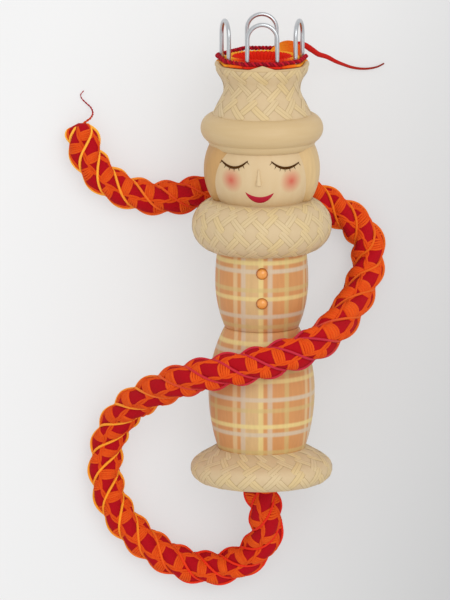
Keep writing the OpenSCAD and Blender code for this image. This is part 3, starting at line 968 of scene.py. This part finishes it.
# Head, nose and painted face
# A turned ball of pale wood with a small glued nose. The closed eyes with their lashes and the mouth
# are painted on thickly, and the cheeks are rubbed in softly with red.
head_r = 14.9
ball_z = collar_top + 8.8
pale_wood = "D6BE97"
warm_wood = "CFB286"
cheek_red = "C84636"
cheek_r = 3.7
cheek_cover = 0.9
cheeks = [(-8.7, -12.1, 88.0), (8.2, -12.4, 87.8)]

# Fine pale wood: an even satin surface with very faint grain along the doll
face_wood, tree, shader = new_material("pale_turned_wood", **satin)
stood = doll_point(tree)
paint = blend(tree, grain_on_doll(tree, stood, across=0.5, along=0.06), warm_wood, pale_wood)
for cheek in cheeks:
    away = calc_vectors(tree, "DISTANCE", stood, cheek)["Value"]
    paint = blend(tree, spread(tree, away, low=cheek_r, high=0.0, to_high=cheek_cover), paint, cheek_red)
set_colour(tree, shader, paint)
give("head", face_wood)
give("nose", face_wood)


def on_ball(x, z, lift):
    """A point on the front of the head ball, raised by a little."""
    out = Vector((x, -math.sqrt(head_r ** 2 - x ** 2 - (z - ball_z) ** 2), z - ball_z)).normalized()
    return on_doll(*(out * (head_r + lift) + Vector((0, 0, ball_z))))


def bowed(ends, low, t, full=1):
    """A point on a bow between two ends through a low point halfway; it is rounder if full is below 1."""
    a, c = ends
    swell = (4 * t * (1 - t)) ** full
    return [a[k] + (c[k] - a[k]) * t + (low[k] - (a[k] + c[k]) / 2) * swell for k in (0, 1)]


# Eyes: one bowed brush stroke each, given by its ends and its low point, with short lashes along it
eye_bows = [
    (((-11.5, 93.3), (-3.9, 93.8)), (-7.8, 91.6)),
    (((2.4, 93.7), (10.4, 92.9)), (6.35, 91.6)),
]
eye_steps = 24
eye_d = 0.8
eye_thin = 0.4
lash_d = 0.3
lash_len = 1.2
lash_count = 7
lash_inset = 0.3
lash_spread = 1.5
lash_taper = 0.7
lash_tip = 0.1
lash_steps = 4
eye_brown = "3E2200"
eye_light = "523002"


def stroke_r(s):
    """Half the width of a brush stroke that swells towards its middle."""
    return eye_d / 2 * (eye_thin + (1 - eye_thin) * math.sin(math.pi * s))


def lash_r(s):
    """Half the width of a lash that thins out to its tip."""
    return lash_d / 2 * (1 - lash_taper * s) * rounded_end((1 - s) / lash_tip)


mesh = bmesh.new()
for ends, low in eye_bows:
    stroke = [on_ball(*bowed(ends, low, i / eye_steps), 0) for i in range(eye_steps + 1)]
    add_tube(mesh, stroke, stroke_r, sides=8, ends=0.04)
    for lash in range(lash_count):
        t = (lash + lash_inset) / (lash_count - 1 + 2 * lash_inset)
        x, z = bowed(ends, low, t)
        lean = lash_spread * (t - 0.5)
        hair = []
        for step in range(lash_steps + 1):
            out = lash_len * step / lash_steps
            hair.append(on_ball(x + out * math.sin(lean), z - out * math.cos(lean), 0))
        add_tube(mesh, hair, lash_r, sides=6)
close(mesh)
eye_paint = mottled_material("brown_eye_paint", eye_brown, eye_light, size=0.6,
                             Roughness=0.6, Specular_IOR_Level=0.1)
eyes = new_piece("painted_eyes", mesh, eye_paint)

# Mouth: a crescent of thick red paint
mouth_ends = ((-4.7, 84.9), (3.25, 84.75))
mouth_upper = (-0.74, 83.5)
mouth_lower = (-0.73, 81.65)
mouth_full = 0.75
mouth_thick = 0.12
mouth_corner = 6
mouth_red = "B90A30"
mouth_dark = "A00828"


def mouth_point(s, t):
    """Across the mouth from corner to corner, and from its lower edge to its upper one and back inside."""
    upper = bowed(mouth_ends, mouth_upper, s)
    lower = bowed(mouth_ends, mouth_lower, s, mouth_full)
    share = (1 - math.cos(2 * math.pi * t)) / 2
    x, z = [lower[k] + (upper[k] - lower[k]) * share for k in (0, 1)]
    return on_ball(x, z, mouth_thick * math.sin(2 * math.pi * t) * min(1, mouth_corner * min(s, 1 - s)))


mesh = bmesh.new()
add_grid(mesh, mouth_point, rows=32, sides=16)
close(mesh)
mouth_paint = mottled_material("crimson_mouth_paint", mouth_dark, mouth_red, size=0.8,
                               Roughness=0.4, Specular_IOR_Level=0.3)
mouth = new_piece("painted_mouth", mesh, mouth_paint)
for piece in (eyes, mouth):
    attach(piece, "root")

# Hair
# A carved cap of darker wood glued round the head, open at the face, where its edge is thinned to
# nothing. It reaches from the collar up under the brim and has a faint grain that runs down like hair.
hair_r, hair_foot, hair_top = reach("hair")
hair_t = 1.4
hair_taper = 4.0
hair_inset = 0.1
face_right_w = 12.2
face_right_arc = 19
face_left_w = 13.0
face_left_arc = 13
face_wide_z = hair_foot + 6
hair_shaded_left = "C0945C"
hair_lit_right = "D2B482"


def face_edge(z, half_w, arc_r):
    """How far the face reaches to a side at a height: most at its widest place, on an arc."""
    return half_w - arc_r + math.sqrt(arc_r ** 2 - (z - face_wide_z) ** 2)


def hair_point(s, t):
    """Round the back of the head from one side of the face to the other, outside up and inside down."""
    z = hair_foot + (hair_top - hair_foot) * (1 - abs(2 * t - 1))
    ball = math.sqrt(head_r ** 2 - (z - ball_z) ** 2)
    first = math.asin(face_edge(z, face_right_w, face_right_arc) / ball)
    last = 2 * math.pi - math.asin(face_edge(z, face_left_w, face_left_arc) / ball)
    angle = first + (last - first) * s
    from_edge = min(angle - first, last - angle) * ball
    thick = (hair_t + hair_inset) * math.sin(math.pi / 2 * min(1, from_edge / hair_taper))
    out = Vector((ball * math.sin(angle), -ball * math.cos(angle), z - ball_z)).normalized()
    raised = head_r - hair_inset + (thick if t < 0.5 else 0)
    return on_doll(*(out * raised + Vector((0, 0, ball_z))))


mesh = bmesh.new()
add_grid(mesh, hair_point, rows=120, sides=48)
close(mesh)

# Carved wood with painted light: paler towards the right-hand side, where the light comes from, and darker
# to the left
hair_wood, tree, shader = new_material("darker_carved_wood", **satin)
stood = doll_point(tree)
parts = add_node(tree, "ShaderNodeSeparateXYZ", {0: stood})
grain = grain_on_doll(tree, stood, across=1.0, along=0.08)
# Painted light: the tan is lighter to the right and darker to the left
side_lit_tans = blend(tree, spread(tree, parts["X"], low=-hair_r, high=hair_r), hair_shaded_left, hair_lit_right)
grained = tint(tree, side_lit_tans, spread(tree, grain, to_low=0.88, to_high=1.1))
set_colour(tree, shader, grained)
roughen(tree, shader, grain, strength=0.15, depth=0.2)
hair = new_piece("carved_hair", mesh, hair_wood)
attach(hair, "root")
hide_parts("hair")

# Hat brim
# A smooth turned ring with a fully rounded edge and a narrow lip under it, glued on the head under the
# crown. Plain pale wood, sanded and varnished, with its grain running round.
brim_r, brim_foot, brim_top = reach("hat_brim")
brim_round = 4.2
brim_from = -60
brim_centre = (brim_r - brim_round, (brim_foot + brim_top) / 2)
brim_sweep = math.degrees(math.asin((brim_top - brim_foot) / 2 / brim_round))
brim_lip = [(13.4, brim_foot - 1.4), (14, brim_foot - 1.45), (14.3, brim_foot - 1.25),
            (15.1, brim_foot + 0.2)]
brim_side = brim_lip + arc(brim_centre, brim_round, brim_from, brim_sweep, steps=40)
brim_pale = "CFB58A"
brim_warm = "C7AA7B"
brim_wood, tree, shader = new_material("sanded_brim_wood", **satin)
grain = grain_on_doll(tree, doll_point(tree), across=0.12, along=0.8)
set_colour(tree, shader, blend(tree, grain, brim_warm, brim_pale))
outline = [(core_hole_r, brim_foot), (brim_side[0][0], brim_foot), *brim_side, (core_hole_r, brim_top)]
brim = new_piece("turned_brim", turned(outline), brim_wood)
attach(brim, "root")
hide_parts("hat_brim")

# Hat crown
# The turned crown flares from a narrow waist to the rim, where the hooks stand round the mouth of the
# bore. It is covered with woven straw. A thin plain band edges the rim and rises to a point at each hook.
crown_foot = brim_top
crown_foot_r = 13.8
crown_waist_r = 10.7
crown_waist_z = crown_foot + 7.4
crown_hollow_r = 5
crown_flare = (12.75, rim_z - 2)
crown_middle_r = 12
crown_repeats = 12
rim_r = 13.1
mouth_r = 9.3
bore_r = 6
core_seat_z = crown_foot + 5
band_h = 0.7
band_out = 0.12
band_in = 0.5
band_bevel = 0.3
band_over = 0.02
peak_half = 3.7
peak_rise = 1.2
peak_thick = 0.6
hollow = (crown_waist_r + crown_hollow_r, crown_waist_z)
low_touch = touch((crown_foot_r, crown_foot), hollow, crown_hollow_r, -1) % 360
high_touch = touch(crown_flare, hollow, crown_hollow_r, 1)
crown_side = [(crown_foot_r, crown_foot), *arc(hollow, crown_hollow_r, low_touch, high_touch), crown_flare,
              (rim_r, rim_z)]
outline = [(core_hole_r, crown_foot), *crown_side, (mouth_r, rim_z), (bore_r, core_seat_z),
           (core_hole_r, core_seat_z)]
crown = new_piece("turned_crown", turned(outline), straw_wood)
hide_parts("hat_crown")
strips = straw_strips(crown_side, crown_middle_r, crown_repeats, seed=3)
crown_straw = new_piece("crown_straw_strips", strips, straw)

band_r = rim_r + band_out
band_outline = [(band_r - band_bevel, rim_z - band_h), (band_r, rim_z - band_h / 2),
                (band_r, rim_z + band_over), (mouth_r, rim_z + band_over),
                (mouth_r - band_in, rim_z - band_h)]
mesh = turned(band_outline)
for hook_angle in hook_angles.values():
    def peak_point(s, t):
        """A thin triangle along the rim: outside up to its slanting edge, and inside down again."""
        across = peak_half * (2 * s - 1)
        corner = round(4 * t) % 4
        r = band_r if corner in (0, 1) else band_r - peak_thick
        up = peak_rise * (1 - abs(2 * s - 1)) if corner in (1, 2) else -band_h / 2
        return round_doll(hook_angle + math.degrees(across / rim_r), r, rim_z + up)

    add_grid(mesh, peak_point, rows=16, sides=4)
close(mesh)
rim_band = new_piece("rim_band", mesh, brim_wood)
for piece in (crown, crown_straw, rim_band):
    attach(piece, "root")

# Hooks
# Four staples of drawn steel wire, pressed into holes in the rim. The wire is brushed along its length,
# so its highlights are soft and slightly streaked.
steel_light = "D8DADC"
steel_dark = "B4B7BA"
steel, tree, shader = new_material("drawn_steel_wire", Metallic=1.0, Roughness=0.32)
grain = grain_on_doll(tree, doll_point(tree), across=4.0, along=0.25, detail=3.0)
set_colour(tree, shader, blend(tree, grain, steel_dark, steel_light))
for place in hook_angles:
    give("hook_" + place, steel)

# Knitting in the mouth
# The web of red stitches that sinks from the hooks into the bore: columns of yarn that are drawn
# together as they go down, on a closed ground of the same wool.
web_columns = 44
web_top_r = 8.8
web_foot_r = 4.9
web_overlap = 1.15
web_spacing = 0.9
web_profile = [(web_top_r, rim_z + 1.2), (8.1, rim_z + 1.7), (7.2, rim_z + 1), (6.2, rim_z - 1),
               (5.4, rim_z - 4.5), (web_foot_r, rim_z - 9)]
web_ground = [(0, rim_z - 6), (4.6, rim_z - 5.5), (5.8, rim_z - 1.5), (6.9, rim_z + 0.6), (8, rim_z + 1.3),
              (web_top_r, rim_z + 0.7), (7.5, rim_z - 0.6), (web_foot_r, rim_z - 8.5), (0, rim_z - 8.5)]
web_red = "E62208"
web_depth_shade = "B0180A"


def web_column_r(s):
    """Half the width of a column, so that its neighbours just touch all the way down."""
    middle_r = web_top_r + (web_foot_r - web_top_r) * s
    return web_overlap * math.pi * middle_r / web_columns


mesh = marked_mesh("along")
for column in range(web_columns):
    profile = [round_doll(360 * column / web_columns, r, z) for r, z in web_profile]
    line = smooth_line(profile, web_spacing)[0]
    add_tube(mesh, line, web_column_r, sides=8, ends=0.06, along=lambda s, t: s)
close(mesh)

# Bright red wool, with painted shade that darkens it down into the depth of the bore
web_wool, tree, shader = new_material("bright_red_wool", Roughness=0.85, Specular_IOR_Level=0.12)
uneven = calc(tree, "ADD", mottle(tree, size=0.5, detail=3.0), point_mark(tree, "along"))
shaded_reds = blend(tree, spread(tree, uneven, low=0.3, high=1.4), web_red, web_depth_shade)
set_colour(tree, shader, shaded_reds)
web = new_piece("knitted_web", mesh, web_wool)
web_inside = new_piece("knitted_web_ground", turned(web_ground, steps=72), web_wool)
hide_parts("cord_in_bore")
for piece in (web, web_inside):
    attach(piece, "root")

# Live loops
# The last row of knitting: a loop round both legs of each hook, strands from hook to hook on the rim,
# and the thick edge of the web inside them. The yarn runs from red through orange to gold.
loop_d = 0.9
loop_r = (wire_d + loop_d) / 2 + yarn_gap
loop_z = rim_z + loop_d / 2 + yarn_gap
loop_steps = 8
strand_d = 1.0
strand_out_r = 12.3
strand_in_r = 10.2
strand_steps = 24
strand_lead = 5
# How much further in, higher and more golden the innermost strand between two hooks is than the outermost
layers_in = 1.5
layers_rise = 0.9
layers_tone = 0.2
# The strands after each hook: how many, how many degrees they go past the next hook, how high they arch
# and their tones at both ends
strand_layers = {"front": 3, "right": 8, "back": 3, "left": 3}
strand_past = {"front": 0, "right": 9, "back": 0, "left": 0}
strand_hump = {"front": 0.1, "right": 4.1, "back": 0.1, "left": 0.1}
strand_tones = {"front": (-0.7, 0.8), "right": (-0.4, 0.7), "back": (0.4, 0.4), "left": (0.8, -0.7)}
loop_mottle = 0.3
loop_tone = {"front": -0.9, "back": 0.2, "left": 0.7, "right": 0.7}
hump_full = 0.6
hump_lean = 1.4
edge_ring_r = 9.5
edge_ring_d = 2.2
edge_ring_z = rim_z + 1.35
edge_ring_steps = 300
edge_ring_turns = 16
edge_ring_plies = 3
# The ring is red as far from the front as the one angle, and gold from the other one on
ring_red = 35
ring_gold = 60
ring_red_tone = -0.9
ring_gold_tone = 0.85
loop_colours = [(0, "CE1A0C"), (0.4, "E8560E"), (0.6, "EC6E12"), (1, "EFAE30")]


def ring_tone(share):
    """The web's edge is red at the front and turns gold towards the sides."""
    from_front = 360 * min(share, 1 - share)
    turned_gold = min(max((from_front - ring_red) / (ring_gold - ring_red), 0), 1)
    return ring_red_tone + (ring_gold_tone - ring_red_tone) * turned_gold


mesh = marked_mesh("tone")
for place, hook_angle in hook_angles.items():
    turned_to_hook = Matrix.Rotation(math.radians(hook_angle), 3, "Z")
    loop = []
    for end in (0, 1):
        for step in range(loop_steps + 1):
            swing = math.pi * (step / loop_steps - 0.5 + end)
            x = (0.5 - end) * hook_span + loop_r * math.cos(swing)
            y = loop_r * math.sin(swing) - hook_circle
            loop.append(on_doll(*(turned_to_hook @ Vector((x, y, loop_z)))))
    loop += loop[:2]
    add_tube(mesh, loop, loop_d / 2, sides=8, tone=loop_tone[place])
hook_order = ["front", "right", "back", "left"]
for here, there in zip(hook_order, hook_order[1:] + hook_order[:1]):
    first = hook_angles[here] + leg_angle
    last = hook_angles[there] - leg_angle
    last += strand_past[here] + (360 if last < first else 0)
    first_tone, last_tone = strand_tones[here]
    for layer in range(strand_layers[here]):
        inwards = layer / (strand_layers[here] - 1)
        line = []
        for step in range(strand_steps + 1):
            t = step / strand_steps
            out_r = strand_out_r - layers_in * inwards
            r = strand_in_r + (out_r - strand_in_r) * min(1, strand_lead * t, strand_lead * (1 - t))
            hump = strand_hump[here] * (1 - inwards) * math.sin(math.pi * t ** hump_lean) ** hump_full
            up = strand_d / 2 + layers_rise * inwards + hump
            line.append(round_doll(first + (last - first) * t, r, rim_z + up))
        add_tube(mesh, line, strand_d / 2, sides=8, ends=0.05,
                 tone=lambda s, t: first_tone + (last_tone - first_tone) * s + layers_tone * inwards)
for ply in range(edge_ring_plies):
    strand = []
    for step in range(edge_ring_steps + 2):
        share = step / edge_ring_steps
        swing = 2 * math.pi * (share * edge_ring_turns + ply / edge_ring_plies)
        r = edge_ring_r + edge_ring_d / 4 * math.cos(swing)
        strand.append(round_doll(360 * share, r, edge_ring_z + edge_ring_d / 4 * math.sin(swing)))
    add_tube(mesh, strand, edge_ring_d / 4, sides=8, tone=lambda s, t: ring_tone(s))
close(mesh)

# Wool that was dyed in a run of colours
loop_wool, tree, shader = new_material("orange_to_gold_wool", Roughness=0.8, Specular_IOR_Level=0.15)
uneven = calc(tree, "MULTIPLY_ADD", mottle(tree, size=0.5), loop_mottle, point_mark(tree, "tone"))
dyes = ramp_of(tree, spread(tree, uneven, low=-0.8, high=1.2), loop_colours)
set_colour(tree, shader, dyes)
loops = new_piece("live_loops", mesh, loop_wool)
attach(loops, "root")
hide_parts("stitch_loops")
